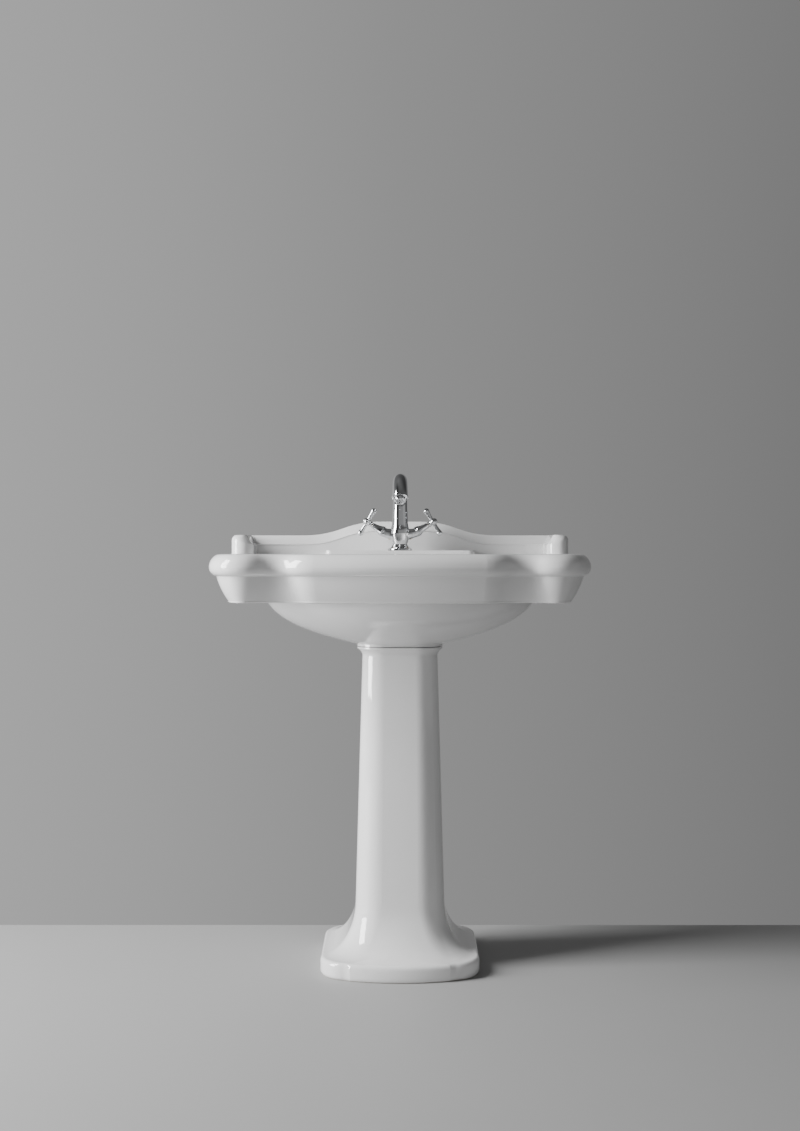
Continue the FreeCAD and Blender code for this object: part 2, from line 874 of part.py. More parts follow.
def shaft_plan(width, front, back, panel, grow):
    half = width / 2 + grow
    corner = half - panel
    ahead = panel_bow - front - grow
    behind = grow - back
    right = []
    for step in range(5):
        turn = math.radians(22.5 * step)
        right.append((panel + corner * math.sin(turn), ahead + corner * (1 - math.cos(turn))))
    rear = shaft_rear_radius
    return [(0, -front - grow)] + right + [
        (half, behind - rear),
        (half - rear * (1 - math.sqrt(0.5)), behind - rear * (1 - math.sqrt(0.5))),
        (half - rear, behind),
    ]


def blend(first, second, share):
    pairs = zip(first, second)
    return [(a[0] + (b[0] - a[0]) * share, a[1] + (b[1] - a[1]) * share) for a, b in pairs]


def plan_wire(plan, z):
    right = [V(x, y, z) for x, y in plan]
    left = [V(-x, y, z) for x, y in plan]
    front, panel, by_panel, corner, by_corner, side, rear, by_rear, back = range(9)
    edges = [
        Part.Arc(left[panel], right[front], right[panel]).toShape(),
        Part.Arc(right[panel], right[by_panel], right[corner]).toShape(),
        Part.Arc(right[corner], right[by_corner], right[side]).toShape(),
        line(right[side], right[rear]),
        Part.Arc(right[rear], right[by_rear], right[back]).toShape(),
        line(right[back], left[back]),
        Part.Arc(left[back], left[by_rear], left[rear]).toShape(),
        line(left[rear], left[side]),
        Part.Arc(left[side], left[by_corner], left[corner]).toShape(),
        Part.Arc(left[corner], left[by_panel], left[panel]).toShape(),
    ]
    return Part.Wire(edges)


def shaft_base(grow):
    return shaft_plan(shaft_width, shaft_front, shaft_back, shaft_panel_half, grow)


def shaft_neck(grow):
    return shaft_plan(neck_width, neck_front, neck_back, neck_panel_half, grow)


def sweep_share(height):
    # share of the way from the shaft out to the plinth, on a quarter round hollow
    return 1 - math.sqrt(1 - (1 - height) ** 2)


def pedestal():
    plinth = plinth_plan()
    foot = shaft_base(0)
    neck = shaft_neck(0)
    slab = []
    for level, share in plinth_edge:
        slab.append(plan_wire(blend(foot, plinth, share), plinth_height * level))
    flare = []
    for step in range(flare_steps + 1):
        height = (step / flare_steps) ** flare_gather
        z = plinth_height + (flare_height - plinth_height) * height
        flare.append(plan_wire(blend(foot, plinth, plinth_edge[-1][1] * sweep_share(height)), z))
    neck_top = seat_height - flange_height
    shaft = [plan_wire(foot, flare_height), plan_wire(neck, neck_top)]
    cap = []
    for step in range(5):
        height = step / 4
        grow = flange_edge * (1 - math.cos(math.pi * height / 2))
        cap.append(plan_wire(shaft_neck(grow), neck_top + (flange_height - flange_lip) * height))
    lip = prism(plan_wire(shaft_neck(flange_edge), seat_height - flange_lip), V(0, 0, flange_lip))
    outside = join(
        Part.makeLoft(slab, True, False),
        Part.makeLoft(flare, True, False),
        Part.makeLoft(shaft, True, True),
        Part.makeLoft(cap, True, False),
        lip,
    )
    wall = -pedestal_wall
    inner_foot = shaft_base(wall)
    hollow = []
    for level, share in foot_hollow:
        z = pedestal_wall + (flare_height - pedestal_wall) * level
        hollow.append(plan_wire(blend(inner_foot, plinth, share), z))
    tube = [plan_wire(inner_foot, flare_height), plan_wire(shaft_neck(wall), seat_height)]
    slot = block(-pedestal_gap_half, pedestal_gap_half, -waste_setback, 0, -1, seat_height + 1)
    opening = prism(rounded(
        flat,
        (-foot_gap_half, -foot_gap_front, foot_gap_round),
        (foot_gap_half, -foot_gap_front, foot_gap_round),
        (foot_gap_half, -plinth_back - foot_gap_rear, foot_gap_round),
        (-foot_gap_half, -plinth_back - foot_gap_rear, foot_gap_round),
    ), V(0, 0, pedestal_wall + 1))
    cuts = [Part.makeLoft(hollow, True, True), Part.makeLoft(tube, True, True), slot, opening]
    for x in (-foot_screw_spacing / 2, foot_screw_spacing / 2):
        cuts.append(moved(rod(foot_screw_radius, -1, pedestal_wall + 1), x, -foot_screw_setback, 0))
    return outside.cut(cuts)


def seat_gasket():
    outer = prism(plan_wire(shaft_neck(flange_edge - seat_pad_inset), seat_height), V(0, 0, seat_pad))
    inner = prism(plan_wire(shaft_neck(-pedestal_wall), seat_height), V(0, 0, seat_pad))
    slot = block(-pedestal_gap_half, pedestal_gap_half, -waste_setback, 0, seat_height - 1, basin_seat + 1)
    return outer.cut([inner, slot])


# ---- waste, all on the waste axis ----
def at_waste(shape):
    return moved(shape, 0, -waste_setback, 0)


flange_seat = waste_seat + waste_seal_thickness
flange_top = flange_seat + waste_flange_thickness
bar_low = boss_bottom + waste_slot_height - waste_bar_height


def waste_flange():
    body = lathe(
        (waste_bore_radius, waste_bottom),
        (waste_thread_radius, waste_bottom),
        (waste_thread_radius, flange_seat),
        (waste_flange_radius, flange_seat),
        (
            (waste_flange_radius - waste_flange_round / 3, flange_top - waste_flange_thickness / 6),
            (waste_flange_radius - waste_flange_round, flange_top),
        ),
        (waste_bore_radius + waste_dish_width, flange_top),
        (waste_bore_radius, flange_seat - waste_dish_depth),
    )
    bar_half = waste_thread_radius - waste_bar_inset
    bar = block(
        -bar_half, bar_half, -waste_bar_width / 2, waste_bar_width / 2, bar_low, bar_low + waste_bar_height
    )
    hub = rod(cartridge_neck_radius + waste_hub_wall, bar_low, bar_low + waste_bar_height)
    slot_low = boss_bottom + duct_wall + waste_slot_rise
    slot = block(
        -waste_slot_half, waste_slot_half, 0, waste_thread_radius + 1, slot_low, slot_low + waste_slot_height
    )
    return body.fuse([bar, hub]).cut([rod(cartridge_neck_radius, bar_low - 1, flange_top), slot])


def waste_seal():
    return ring(waste_recess_radius - waste_seal_inset, waste_hole_radius, waste_seat, flange_seat)


def waste_under_gasket():
    low = boss_bottom - waste_gasket_thickness
    return lathe(
        (waste_thread_radius, low),
        (waste_gasket_radius, low),
        (waste_gasket_radius, boss_bottom - waste_gasket_rise),
        (waste_gasket_radius - waste_gasket_cone, boss_bottom),
        (waste_thread_radius, boss_bottom),
    )


def waste_washer():
    high = boss_bottom - waste_gasket_thickness
    return ring(waste_gasket_radius, waste_thread_radius, high - waste_washer_thickness, high)


def waste_backnut():
    high = boss_bottom - waste_gasket_thickness - waste_washer_thickness
    return hexagon(waste_nut_flats, high - waste_nut_thickness, high, waste_thread_radius)


cartridge_low = bar_low
cartridge_seat = bar_low + waste_bar_height
cartridge_top = cartridge_seat + cartridge_height
plug_under = flange_top + plug_lift


def plug_cartridge():
    return lathe(
        (plug_stem_radius + plug_running_gap, cartridge_low),
        (cartridge_neck_radius, cartridge_low),
        (cartridge_neck_radius, cartridge_seat),
        (cartridge_radius, cartridge_seat),
        (cartridge_radius, cartridge_top - cartridge_edge),
        (cartridge_radius - cartridge_edge, cartridge_top),
        (plug_stem_radius + plug_running_gap, cartridge_top),
    )


def waste_plug():
    # domed cover on a guide stem, drawn raised
    stem_end = cartridge_low + plug_lift + plug_stem_grip
    boss = cartridge_top + plug_lift + plug_boss_gap
    high = plug_under + plug_edge
    top = plug_radius - plug_round
    return lathe(
        (0, stem_end),
        (plug_stem_radius, stem_end),
        (plug_stem_radius, boss),
        (cartridge_radius, boss),
        (cartridge_radius + plug_boss, plug_under),
        (plug_radius, plug_under),
        (plug_radius, high - plug_round_height),
        ((plug_radius - plug_round / 3, high - plug_round / 4), (top, high)),
        dome(top, high, plug_crown),
    )


def plug_seal():
    # rubber ring let into the underside of the cover
    outer = plug_radius - plug_seal_inset
    return ring(outer, outer - plug_seal_width, plug_under - plug_seal_thickness, plug_under)


# ---- trap ----
def trap_inlet():
    # pipe with a rim that the coupling nut draws up against the waste
    high = waste_bottom - trap_seal
    bore = pipe_radius - pipe_wall
    return join(
        ring(pipe_radius, bore, trap_bottom + trap_dip, high),
        ring(pipe_radius + pipe_rim, bore, high - pipe_rim_thickness, high),
    )


def trap_inlet_seal():
    outer = waste_thread_radius - trap_seal_outset
    return ring(outer, waste_bore_radius - trap_seal_inset, waste_bottom - trap_seal, waste_bottom)


def flutes(outer, low, high):
    cuts = []
    for turn in range(nut_flutes):
        angle = turn * 2 * math.pi / nut_flutes
        place = outer + flute_out
        cuts.append(moved(rod(flute_radius, low, high), place * math.cos(angle), place * math.sin(angle), 0))
    return cuts


def coupling_nut(bore_small, bore_big, outer, height, step):
    # knurled slip nut: small bore below, thread bore above the step
    nut = lathe(
        (bore_small, 0),
        (outer - nut_edge, 0),
        (outer, nut_edge),
        (outer, height - nut_edge),
        (outer - nut_edge, height),
        (bore_big, height),
        (bore_big, step),
        (bore_small, step),
    )
    return nut.cut(flutes(outer, nut_edge, height + 1))


def trap_inlet_nut():
    step = waste_bottom - trap_seal - pipe_rim_thickness
    nut = coupling_nut(pipe_radius, waste_thread_radius, trap_nut_radius, trap_nut_height, trap_nut_floor)
    return moved(nut, 0, 0, step - trap_nut_floor)


def trap_body():
    inner = trap_radius - trap_wall - trap_step
    cut = trap_shoulder * (1 - math.sqrt(0.5))
    collar = pipe_radius + trap_collar_wall
    shell = lathe(
        (inner, trap_mouth),
        (trap_radius - trap_step, trap_mouth),
        (trap_radius - trap_step, trap_mouth + trap_thread),
        (trap_radius, trap_mouth + trap_thread),
        (trap_radius, trap_top - trap_shoulder),
        ((trap_radius - cut, trap_top - cut), (trap_radius - trap_shoulder, trap_top)),
        (collar, trap_top),
        (collar, trap_top + trap_collar),
        (pipe_radius, trap_top + trap_collar),
        (pipe_radius, trap_top - trap_wall),
        (trap_radius - trap_shoulder, trap_top - trap_wall),
        (inner, trap_top - trap_shoulder - trap_step),
    )
    start = V(0, 0, trap_outlet_height)
    branch = Part.makeCylinder(pipe_radius + trap_branch_wall, branch_end, start, V(0, 1, 0))
    bore = Part.makeCylinder(pipe_radius, branch_end + 1, start, V(0, 1, 0))
    core = rod(inner, trap_mouth, trap_top)
    return shell.fuse(branch.cut(core)).cut(bore)


def trap_cup():
    high = trap_bottom + trap_cup_height
    outer = trap_radius + trap_cup_wall
    grip = outer + trap_grip
    grip_low = trap_mouth + nut_edge
    inner = trap_radius - trap_wall - trap_step
    floor = trap_bottom + trap_wall
    cut = trap_cup_round * (1 - math.sqrt(0.5))
    cup = lathe(
        (0, trap_bottom),
        (outer - trap_cup_round, trap_bottom),
        ((outer - cut, trap_bottom + cut), (outer, trap_bottom + trap_cup_round)),
        (outer, grip_low - nut_edge),
        (grip, grip_low),
        (grip, high - trap_step),
        (grip - trap_step, high),
        (trap_radius, high),
        (trap_radius, trap_mouth - cup_seal_thickness),
        (inner, trap_mouth - cup_seal_thickness),
        (inner, trap_bottom + trap_cup_round),
        (outer - trap_cup_round - trap_collar_wall, floor),
        (0, floor),
    )
    return cup.cut(flutes(grip, grip_low, high + 1))


def trap_cup_seal():
    inner = trap_radius - trap_wall - trap_step
    return ring(trap_radius - seal_gap, inner, trap_mouth - cup_seal_thickness, trap_mouth)


def along_outlet(shape):
    # from the Z axis onto the outlet's axis, heading for the wall
    made = shape.copy()
    made.rotate(V(), V(1, 0, 0), -90)
    return moved(made, 0, -waste_setback, trap_outlet_height)


def outlet_pipe():
    start = trap_radius + pipe_start
    return along_outlet(lathe(
        (pipe_radius - pipe_wall, start),
        (pipe_radius, start),
        (pipe_radius, waste_setback),
        (outlet_tail_radius, waste_setback),
        (outlet_tail_radius, waste_setback + outlet_tail),
        (pipe_radius - pipe_wall, waste_setback + outlet_tail),
    ))


def outlet_seal():
    return along_outlet(lathe(
        (pipe_radius, branch_end),
        (pipe_radius + trap_branch_wall, branch_end),
        (pipe_radius, branch_end + outlet_seal_length),
    ))


def outlet_nut():
    length = trap_outlet_nut_length
    thread = pipe_radius + trap_branch_wall
    nut = coupling_nut(pipe_radius, thread, trap_outlet_nut_radius, length, outlet_nut_floor)
    nut.rotate(V(0, 0, length / 2), V(1, 0, 0), 180)
    return along_outlet(moved(nut, 0, 0, branch_end + outlet_seal_length + outlet_nut_floor - length))


def wall_rosette():
    end = waste_setback
    front = end - rosette_depth
    wall = rosette_wall
    half_way = (pipe_radius + 2 * wall + rosette_radius) / 2
    return along_outlet(lathe(
        (pipe_radius, front),
        (pipe_radius + 2 * wall, front),
        ((half_way, front + rosette_depth / 4), (rosette_radius, end - wall)),
        (rosette_radius, end),
        (rosette_radius - wall, end),
        ((half_way - wall, front + rosette_depth / 4 + wall), (pipe_radius + wall, front + wall)),
        (pipe_radius, front + wall),
    ))


# ---- mixer, drawn about its own axis with z = 0 on the ledge ----
def at_tap(shape):
    return moved(shape, 0, -tap_setback, ledge_top)


def tilted(shape, side):
    # from the Z axis onto a valve axis; side is 1 on the right, -1 on the left
    tilt = math.radians(valve_tilt)
    axis = V(side * math.cos(tilt), 0, math.sin(tilt))
    made = shape.copy()
    made.Placement = FreeCAD.Placement(V(0, 0, valve_rise), FreeCAD.Rotation(UP, axis))
    return made


def on_valve(shape, side):
    return at_tap(tilted(shape, side))


def spout_ring(radius, turn, beyond):
    # circle square to the spout's middle line, turn radians round its bend
    circle = Part.Wire(Part.Circle(V(), UP, radius).toShape())
    circle.translate(V(0, 0, beyond))
    circle.rotate(V(), V(1, 0, 0), math.degrees(turn))
    y = -spout_bend_radius * (1 - math.cos(turn))
    z = column_height + spout_bend_radius * math.sin(turn)
    circle.translate(V(0, y, z))
    return circle


def spout_piece(shape):
    # from the Z axis, heading up, onto the spout's end, heading out of it
    made = shape.copy()
    made.rotate(V(), V(1, 0, 0), spout_sweep)
    turn = math.radians(spout_sweep)
    y = -spout_bend_radius * (1 - math.cos(turn))
    z = column_height + spout_bend_radius * math.sin(turn)
    return moved(made, 0, y, z)


collar_low = spout_end_length - nozzle_length - collar_length
nozzle_low = spout_end_length - nozzle_length


def swept_arm(side):
    # the arm leaves the body level and curves up onto the valve axis
    tilt = math.radians(valve_tilt)
    reach = arm_end - arm_ring - arm_straight
    end_x = reach * math.cos(tilt)
    end_z = valve_rise + reach * math.sin(tilt)
    wires = []
    for step in range(arm_steps + 1):
        share = step / arm_steps
        radius = arm_radius + (arm_root_radius - arm_radius) * (1 - share) ** arm_taper
        x = end_x * share
        z = arm_root_level + (end_z - arm_root_level) * (share + 2 * share ** 2) / 3
        turn = tilt * share ** arm_curve
        wires.append(Part.Wire(Part.Circle(
            V(side * x, 0, z), V(side * math.cos(turn), 0, math.sin(turn)), radius
        ).toShape()))
    return Part.makeLoft(wires, True, False)


def mixer_foot():
    low = base_seal_thickness
    high = low + foot_edge
    return lathe(
        (0, low),
        (foot_radius, low),
        (foot_radius, high - 1),
        ((foot_radius - foot_round / 3, high - foot_round / 4), (foot_radius - foot_round, high)),
        ((neck_radius + foot_sweep, neck_level - foot_sweep_drop), (neck_radius, neck_level)),
        (0, neck_level),
    )


def mixer_column():
    # hourglass body: out from the waist, round to its widest place, hollow up into the column
    top = spout_apex_radius + spout_waist
    rising = (neck_level + body_level) / 2 + body_swell_rise
    return lathe(
        (0, neck_level),
        (neck_radius, neck_level),
        ((body_radius - body_swell, rising), (body_radius, body_level)),
        (
            (body_radius - body_round, body_level + body_round_rise),
            (body_radius - body_shoulder, body_level + body_shoulder_rise),
        ),
        ((column_radius + body_neck, body_top - body_neck_drop), (column_radius, body_top)),
        ((column_radius - column_hollow, (body_top + column_height) / 2), (top, column_height)),
        (0, column_height),
    )


def spout_bend():
    rings = []
    for step in range(spout_steps + 1):
        share = step / spout_steps
        radius = spout_apex_radius + spout_waist - spout_waist * math.sin(math.pi * share)
        radius += (spout_end_radius - spout_apex_radius - spout_waist) * share ** 3
        rings.append(spout_ring(radius, math.radians(spout_sweep) * share, 0))
    return Part.makeLoft(rings, True, False)


def spout_end():
    cove = (nozzle_radius + nozzle_cove, nozzle_low + nozzle_length * nozzle_cove_share)
    return spout_piece(lathe(
        (0, 0),
        (spout_end_radius, 0),
        (spout_end_radius, collar_low),
        (collar_radius, collar_low + collar_edge),
        (collar_radius, nozzle_low - collar_edge),
        (collar_radius - collar_edge, nozzle_low),
        (collar_radius - collar_step, nozzle_low),
        (cove, (nozzle_radius, spout_end_length)),
        (0, spout_end_length),
    ))


def arm_stop():
    # straight end of an arm with the ring that the bonnet screws down to
    low = arm_end - arm_ring - arm_straight
    return lathe(
        (0, low),
        (arm_radius, low),
        (arm_radius, arm_end - arm_ring),
        (arm_ring_radius, arm_end - arm_ring + arm_ring_edge),
        (arm_ring_radius, arm_end - arm_ring_edge),
        (arm_ring_radius - arm_ring_edge, arm_end),
        (0, arm_end),
    )


def mixer_body():
    spigot_low = base_seal_thickness - spigot_depth
    pieces = [mixer_column(), spout_bend(), spout_end()]
    for side in (1, -1):
        pieces.append(tilted(arm_stop(), side))
        pieces.append(swept_arm(side))
    pieces.append(rod(spigot_radius, spigot_low, base_seal_thickness))
    body = mixer_foot().fuse(pieces)
    cuts = [spout_piece(rod(aerator_radius, spout_end_length - aerator_depth, spout_end_length + 1))]
    cuts.append(moved(rod(stud_radius, spigot_low - 1, base_seal_thickness + stud_bite), 0, stud_setback, 0))
    for x in (-inlet_offset, inlet_offset):
        inlet = rod(inlet_radius, spigot_low - 1, spigot_low + inlet_depth)
        cuts.append(moved(inlet, x, -inlet_setforward, 0))
    for side in (1, -1):
        seat = rod(cartridge_body_radius, arm_end - cartridge_depth, arm_end + 1)
        cuts.append(tilted(seat, side))
    return at_tap(body.cut(cuts))


def aerator_ring():
    low = spout_end_length - aerator_depth + aerator_seat
    high = spout_end_length + aerator_lip
    return at_tap(spout_piece(lathe(
        (aerator_insert_radius, low),
        (aerator_radius, low),
        (aerator_radius, spout_end_length),
        (aerator_lip_radius, spout_end_length),
        (aerator_lip_radius, high - aerator_edge),
        (aerator_lip_radius - aerator_edge, high),
        (aerator_insert_radius, high),
    )))


def aerator_insert():
    low = spout_end_length - aerator_depth + 2 * aerator_seat
    high = spout_end_length + aerator_lip
    disc = rod(aerator_insert_radius, low, high - aerator_recess)
    holes = []
    for count, radius in aerator_holes:
        for turn in range(count):
            angle = turn * 2 * math.pi / count
            hole = rod(aerator_hole_radius, high - aerator_hole_depth, high)
            holes.append(moved(hole, radius * math.cos(angle), radius * math.sin(angle), 0))
    return at_tap(spout_piece(disc.cut(holes)))


def base_seal():
    return at_tap(ring(foot_radius - 1, spigot_radius, 0, base_seal_thickness))


def fixing_stud():
    high = base_seal_thickness + stud_bite
    return at_tap(moved(rod(stud_radius, high - stud_length, high), 0, stud_setback, 0))


def horseshoe(low, thickness):
    # clamp plate under the ledge, open at the front for the hoses
    high = low + thickness
    half = horseshoe_gap_half
    gap = block(-half, half, -horseshoe_radius - 1, horseshoe_gap_end, low - 1, high + 1)
    hole = moved(rod(stud_radius + stud_hole_gap, low - 1, high + 1), 0, stud_setback, 0)
    return at_tap(rod(horseshoe_radius, low, high).cut([gap, hole]))


rubber_low = -deck_thickness - horseshoe_rubber
steel_low = rubber_low - horseshoe_steel


def fixing_nut():
    nut = hexagon(fixing_nut_flats, steel_low - fixing_nut_height, steel_low, stud_radius)
    return at_tap(moved(nut, 0, stud_setback, 0))


# ---- valves and handles, drawn about Z as the valve axis ----
spindle_start = arm_end - cartridge_depth + spindle_seat
spindle_end = handle_hub - spindle_short
head_seat = handle_hub + head_rise
hub_end = handle_hub + handle_hub_end
pocket_radius = screw_head_radius + screw_pocket


def valve_cartridge():
    bore = spindle_radius + spindle_gap
    neck = bonnet_end - bonnet_wall
    return lathe(
        (0, arm_end - cartridge_depth),
        (cartridge_body_radius, arm_end - cartridge_depth),
        (cartridge_body_radius, arm_end),
        (cartridge_top_radius, arm_end),
        (cartridge_top_radius, neck),
        (bore, neck),
        (bore, spindle_start - spindle_floor_gap),
        (0, spindle_start - spindle_floor_gap),
    )


def bonnet():
    # conical sleeve screwed over the cartridge
    skirt = arm_ring_radius - bonnet_skirt
    waist = (bonnet_end_radius + bonnet_hollow, (arm_end + bonnet_end) / 2)
    bore = spindle_radius + bonnet_gap
    return lathe(
        (cartridge_top_radius, arm_end),
        (skirt - bonnet_skirt_edge, arm_end),
        (skirt, arm_end + bonnet_skirt_height),
        (waist, (bonnet_end_radius, bonnet_end - bonnet_round_height)),
        (
            (bonnet_end_radius - bonnet_round, bonnet_end - bonnet_round_drop),
            (bonnet_end_radius - bonnet_round_width, bonnet_end),
        ),
        (bore, bonnet_end),
        (bore, bonnet_end - bonnet_wall),
        (cartridge_top_radius, bonnet_end - bonnet_wall),
    )


def spindle():
    hole = rod(screw_radius, head_seat - screw_length - screw_gap, spindle_end + 1)
    return ring(spindle_radius, 0, spindle_start, spindle_end).cut(hole)


def handle():
    base = bonnet_end + handle_gap
    neck = handle_neck_radius
    waist = (neck - handle_waist, base + handle_waist_height)
    bulge = (handle_hub_radius - handle_hub_low_cut, handle_hub - handle_hub_low)
    crown = (handle_hub_radius - handle_hub_high_cut, handle_hub + handle_hub_high)
    brow = (handle_hub_radius - handle_hub_brow, hub_end - handle_hub_edge)
    hub = lathe(
        (spindle_radius, base),
        (neck - handle_neck_edge, base),
        (neck, base + handle_neck_edge),
        (neck, base + handle_neck_height),
        (waist, bulge),
        ((handle_hub_radius, handle_hub), crown),
        (brow, (handle_hub_radius - handle_hub_end_cut, hub_end)),
        (pocket_radius, hub_end),
        (pocket_radius, head_seat),
        (screw_radius, head_seat),
        (screw_radius, spindle_end),
        (spindle_radius, spindle_end),
    )
    tip = handle_reach - handle_tip_radius
    root = handle_hub_radius - handle_arm_overlap

    def on_tip(degrees):
        turn = math.radians(degrees)
        return handle_tip_radius * math.sin(turn), tip - handle_tip_radius * math.cos(turn)

    neck_end, over, end = [on_tip(degrees) for degrees in handle_ball]
    cross = []
    for turn in range(4):
        arm = lathe(
            (0, root),
            (handle_root_radius, root),
            ((handle_root_radius + handle_swell, tip * handle_swell_place), neck_end),
            (over, end),
        )
        arm.rotate(V(), V(0, 1, 0), 90)
        arm.rotate(V(), UP, 90 * turn)
        cross.append(moved(arm, 0, 0, handle_hub))
    core = rod(pocket_radius, head_seat, hub_end + 1)
    bore = rod(spindle_radius, base - 1, spindle_end)
    return hub.fuse(cross).cut([core, bore])


def handle_screw():
    top = head_seat + screw_head_height
    shank = rod(screw_radius, head_seat - screw_length, head_seat)
    socket = hexagon(screw_socket_flats, top - screw_socket_depth, top, screw_socket_centre)
    return join(shank, rod(screw_head_radius, head_seat, top)).cut(socket)


def handle_cap():
    return lathe(
        (0, hub_end - cap_plug),
        (pocket_radius, hub_end - cap_plug),
        (pocket_radius, hub_end),
        (cap_radius, hub_end),
        (cap_radius, hub_end + cap_edge),
        dome(cap_radius, hub_end + cap_edge, cap_crown),
    )


# ---- the pieces ----
def nodes():
    made = {
        "basin": basin(),
        "pedestal": pedestal(),
        "seat_gasket": seat_gasket(),
        "overflow_ring": overflow_ring(),
        "waste_flange": at_waste(waste_flange()),
        "waste_seal": at_waste(waste_seal()),
        "waste_under_gasket": at_waste(waste_under_gasket()),
        "waste_washer": at_waste(waste_washer()),
        "waste_backnut": at_waste(waste_backnut()),
        "plug_cartridge": at_waste(plug_cartridge()),
        "waste_plug": at_waste(waste_plug()),
        "plug_seal": at_waste(plug_seal()),
        "trap_inlet": at_waste(trap_inlet()),
        "trap_inlet_seal": at_waste(trap_inlet_seal()),
        "trap_inlet_nut": at_waste(trap_inlet_nut()),
        "trap_body": at_waste(trap_body()),
        "trap_cup": at_waste(trap_cup()),
        "trap_cup_seal": at_waste(trap_cup_seal()),
        "outlet_pipe": outlet_pipe(),
        "outlet_seal": outlet_seal(),
        "outlet_nut": outlet_nut(),
        "wall_rosette": wall_rosette(),
        "mixer_body": mixer_body(),
        "mixer_base_seal": base_seal(),
        "aerator_ring": aerator_ring(),
        "aerator_insert": aerator_insert(),
        "fixing_stud": fixing_stud(),
        "clamp_rubber": horseshoe(rubber_low, horseshoe_rubber),
        "clamp_plate": horseshoe(steel_low, horseshoe_steel),
        "fixing_nut": fixing_nut(),
    }
    for name, side in (("hot", -1), ("cold", 1)):
        made[name + "_cartridge"] = on_valve(valve_cartridge(), side)
        made[name + "_bonnet"] = on_valve(bonnet(), side)
        made[name + "_spindle"] = on_valve(spindle(), side)
        made[name + "_handle"] = on_valve(handle(), side)
        made[name + "_handle_screw"] = on_valve(handle_screw(), side)
        made[name + "_cap"] = on_valve(handle_cap(), side)
    return made


os.makedirs("parts", exist_ok=True)
for name, shape in nodes().items():
    save(name, shape)
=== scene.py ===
import math
import bmesh
import bpy
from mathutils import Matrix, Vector


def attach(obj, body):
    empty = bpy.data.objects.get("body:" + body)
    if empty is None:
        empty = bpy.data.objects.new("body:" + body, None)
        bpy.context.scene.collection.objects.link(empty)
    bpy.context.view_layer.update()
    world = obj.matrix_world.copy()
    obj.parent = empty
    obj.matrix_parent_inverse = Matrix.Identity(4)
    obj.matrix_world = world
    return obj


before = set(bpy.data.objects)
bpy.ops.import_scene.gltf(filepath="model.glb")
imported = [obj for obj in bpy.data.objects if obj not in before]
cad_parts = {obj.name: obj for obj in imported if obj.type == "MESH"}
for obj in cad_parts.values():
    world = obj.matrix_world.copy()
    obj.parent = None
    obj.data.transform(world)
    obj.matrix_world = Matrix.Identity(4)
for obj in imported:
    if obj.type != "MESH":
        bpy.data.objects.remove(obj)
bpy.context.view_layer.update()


# small helpers for the finishes
noiseSpan = (0.3, 0.7)        # most of a noise's values lie between these


def newMaterial(name):
    material = bpy.data.materials.new(name)
    material.use_nodes = True
    tree = material.node_tree
    return material, tree, tree.nodes["Principled BSDF"]


def objectPlace(tree, stretch=(1, 1, 1)):
    place = tree.nodes.new("ShaderNodeTexCoord")
    mapping = tree.nodes.new("ShaderNodeMapping")
    mapping.inputs["Scale"].default_value = stretch
    tree.links.new(place.outputs["Object"], mapping.inputs["Vector"])
    return mapping.outputs["Vector"]


def noise(tree, place, scale, detail, roughness=0.55):
    made = tree.nodes.new("ShaderNodeTexNoise")
    made.inputs["Scale"].default_value = scale
    made.inputs["Detail"].default_value = detail
    made.inputs["Roughness"].default_value = roughness
    tree.links.new(place, made.inputs["Vector"])
    return made.outputs["Fac"]


def spread(tree, value, before, after):
    made = tree.nodes.new("ShaderNodeMapRange")
    made.inputs["From Min"].default_value, made.inputs["From Max"].default_value = before
    made.inputs["To Min"].default_value, made.inputs["To Max"].default_value = after
    tree.links.new(value, made.inputs["Value"])
    return made.outputs["Result"]


def tint(tree, value, low, high):
    ramp = tree.nodes.new("ShaderNodeValToRGB")
    ramp.color_ramp.elements[0].color = (*low, 1)
    ramp.color_ramp.elements[1].color = (*high, 1)
    tree.links.new(value, ramp.inputs["Fac"])
    return ramp.outputs["Color"]


def blendColours(tree, share, first, second):
    made = tree.nodes.new("ShaderNodeMix")
    made.data_type = "RGBA"
    tree.links.new(share, made.inputs["Factor"])
    tree.links.new(first, made.inputs[6])     # A and B of the colour sockets
    tree.links.new(second, made.inputs[7])
    return made.outputs[2]


def relief(tree, shader, value, distance):
    bump = tree.nodes.new("ShaderNodeBump")
    bump.inputs["Distance"].default_value = distance
    bump.inputs["Strength"].default_value = 1
    tree.links.new(value, bump.inputs["Height"])
    tree.links.new(bump.outputs["Normal"], shader.inputs["Normal"])


def maths(tree, operation, *values):
    made = tree.nodes.new("ShaderNodeMath")
    made.operation = operation
    for socket, value in zip(made.inputs, values):
        if isinstance(value, (int, float)):
            socket.default_value = value
        else:
            tree.links.new(value, socket)
    return made.outputs["Value"]


# glazed china: clear glaze over a white body, bare biscuit where it stands and meets the wall
china = {
    "white": (0.84, 0.84, 0.84),
    "pooled": (0.81, 0.81, 0.81),
    "biscuit": (0.68, 0.655, 0.61),
    "biscuitShade": (0.60, 0.575, 0.53),
    "gloss": (0.03, 0.07),
    "glazeIor": 1.52,
    "coat": {"Coat Weight": 0.5, "Coat Roughness": 0.015, "Coat IOR": 1.5},
    "bareRoughness": 0.75,
    "clouds": {"scale": 5, "detail": 2},
    "ripple": {"scale": 26, "detail": 2, "roughness": 0.4},
    "waviness": 0.00010,      # height of the ripple
    "grain": {"scale": 900, "detail": 2},
    "haze": {"scale": 60, "detail": 3},
    "bareBelow": 0.0022,      # stands on the floor
    "bareBehind": 0.2438,     # meets the wall
}


